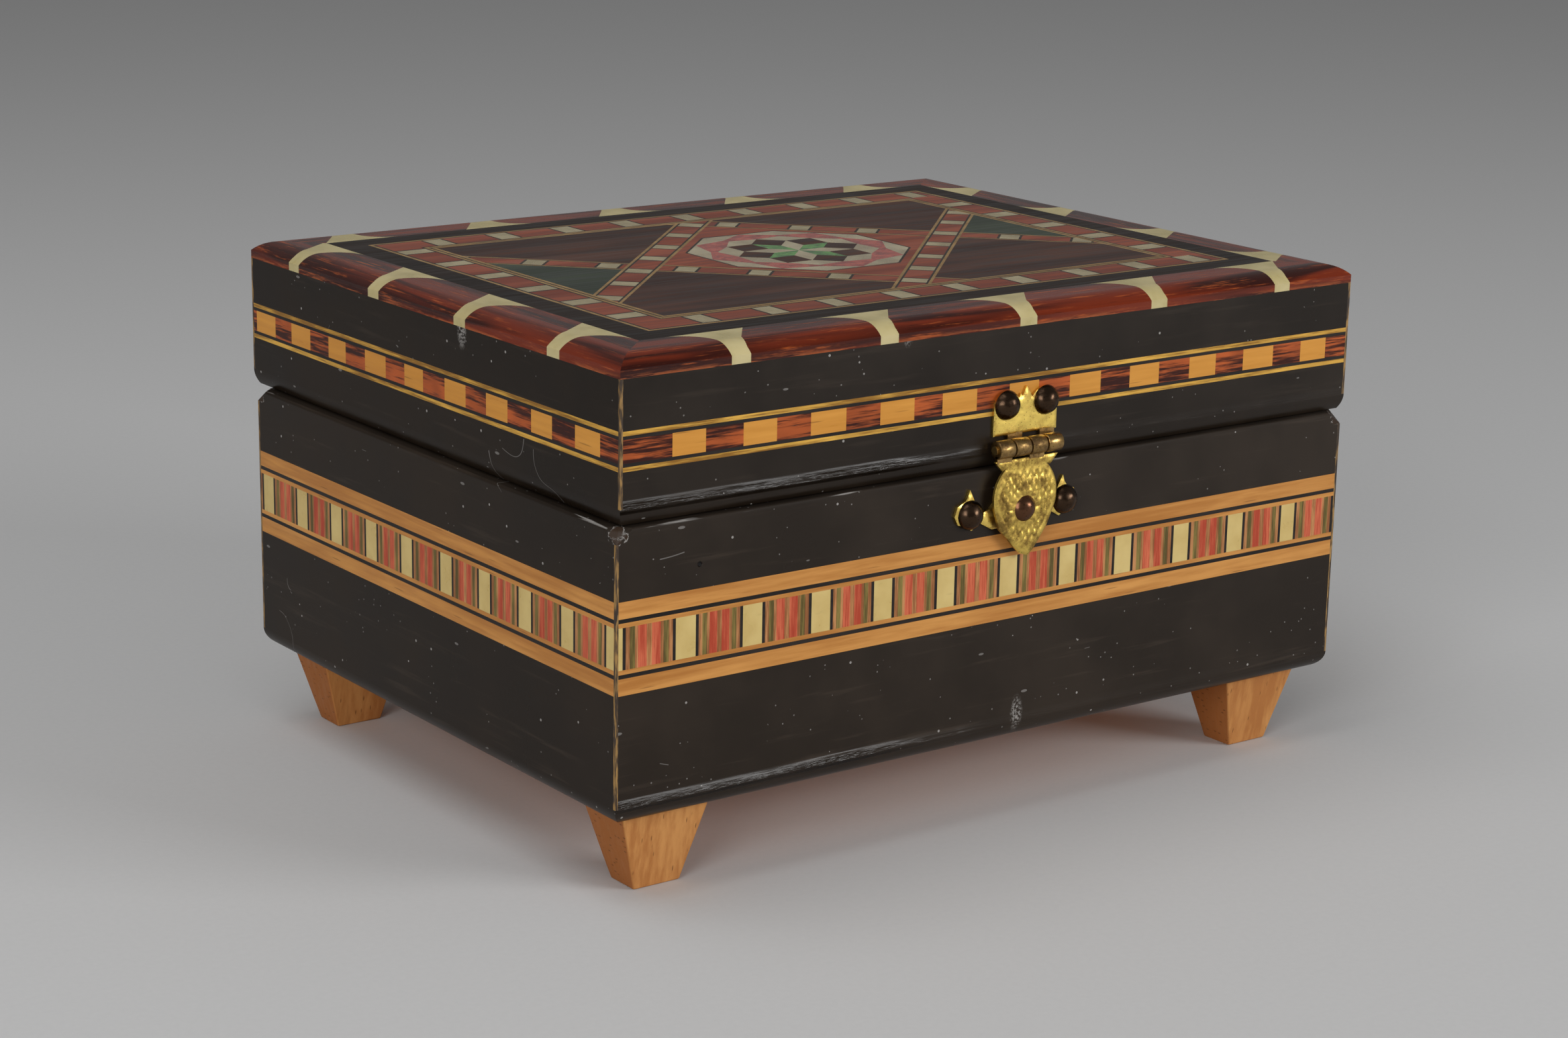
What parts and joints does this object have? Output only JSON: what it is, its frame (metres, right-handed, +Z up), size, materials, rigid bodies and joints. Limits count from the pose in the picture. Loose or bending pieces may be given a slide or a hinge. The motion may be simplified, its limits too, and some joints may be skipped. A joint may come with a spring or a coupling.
{
  "type": "inlaid wooden box",
  "caption": "Small footed wooden box with marquetry bands, a geometric inlaid lid top, a hinged lid and a brass hasp closure.",
  "frame": {"origin": "middle of the bounding rectangle, on the plane that the four feet stand on", "axes": "+X to the right when facing the hasp, -Y out of the front face with the hasp, +Z up"},
  "size_m": [0.1509, 0.1204, 0.0856],
  "materials": {
    "lacquered_wood": "satin black-brown lacquer, scuffed",
    "beech": "sealed plain wood",
    "raw_beech": "raw wood, lightly oiled",
    "satinwood": "satin varnish",
    "ebony": "satin varnish",
    "bone": "yellowed bone or its moulded substitute, semi-gloss",
    "coral_dyed_wood": "dyed veneer under varnish",
    "olive_wood": "satin varnish",
    "veneer_edge": "worn veneer edge",
    "hasp_brass": "thin stamped sheet, patinated",
    "dark_nails": "dark bronzed domes",
    "hinge_brass": "dull drawn brass",
    "lining_velvet": "short-pile velvet",
    "mahogany": "glossy varnish, worn at the edge",
    "padauk": "varnished",
    "rosewood": "varnished",
    "green_dyed_wood": "dyed veneer under varnish",
    "green_shell": "dyed shell, glossy",
    "red_shell": "dyed shell, glossy"
  },
  "bodies": {
    "base": {"bottom_panel": "beech", "front_wall": "lacquered_wood", "back_wall": "lacquered_wood", "left_wall": "lacquered_wood", "right_wall": "lacquered_wood", "foot_front_left": "raw_beech", "foot_front_right": "raw_beech", "foot_back_left": "raw_beech", "foot_back_right": "raw_beech", "band_satinwood": "satinwood", "band_ebony": "ebony", "band_fine_lines": "satinwood", "band_bone_tiles": "bone", "band_red_stripes": "coral_dyed_wood", "band_olive_stripes": "olive_wood", "band_tan_stripes": "satinwood", "body_corner_edges": "veneer_edge", "keeper_plate": "hasp_brass", "keeper_nails": "dark_nails", "base_hinge_leaves": "hinge_brass", "hinge_pins": "hinge_brass", "base_hinge_nails": "hinge_brass", "base_lining_pad": "lining_velvet", "base_lining_walls": "lining_velvet"},
    "lid": {"lid_front_wall": "lacquered_wood", "lid_back_wall": "lacquered_wood", "lid_left_wall": "lacquered_wood", "lid_right_wall": "lacquered_wood", "lid_board": "beech", "moulding_front": "mahogany", "moulding_back": "mahogany", "moulding_left": "mahogany", "moulding_right": "mahogany", "lid_gold_lines": "satinwood", "lid_ebony_lines": "ebony", "lid_light_blocks": "satinwood", "lid_mahogany_blocks": "mahogany", "lid_corner_edges": "veneer_edge", "top_ebony_border": "ebony", "top_gold_lines": "satinwood", "top_dark_lines": "ebony", "top_red_blocks": "padauk", "top_bone_blocks": "bone", "top_brown_panels": "rosewood", "top_green_panels": "green_dyed_wood", "top_rose_panels": "padauk", "rosette_green": "green_shell", "rosette_bone": "bone", "rosette_dark": "rosewood", "rosette_red": "red_shell", "lid_hinge_leaves": "hinge_brass", "lid_hinge_nails": "hinge_brass", "lid_lining": "lining_velvet", "bone_hooks": "bone", "hasp_leaf": "hasp_brass", "hasp_nails": "dark_nails", "hasp_pin": "hinge_brass"},
    "hasp_flap": {"hasp_flap": "hasp_brass", "hasp_knob": "dark_nails"}
  },
  "joints": [
    {"name": "lid_hinge", "type": "hinge", "parent": "base", "child": "lid", "pos_m": [0, 0.0573, 0.06015], "axis": [-1, 0, 0], "range_deg": [0, 95]},
    {"name": "hasp_hinge", "type": "hinge", "parent": "lid", "child": "hasp_flap", "pos_m": [0, -0.0584, 0.0633], "axis": [-1, 0, 0], "range_deg": [0, 145]}
  ]
}
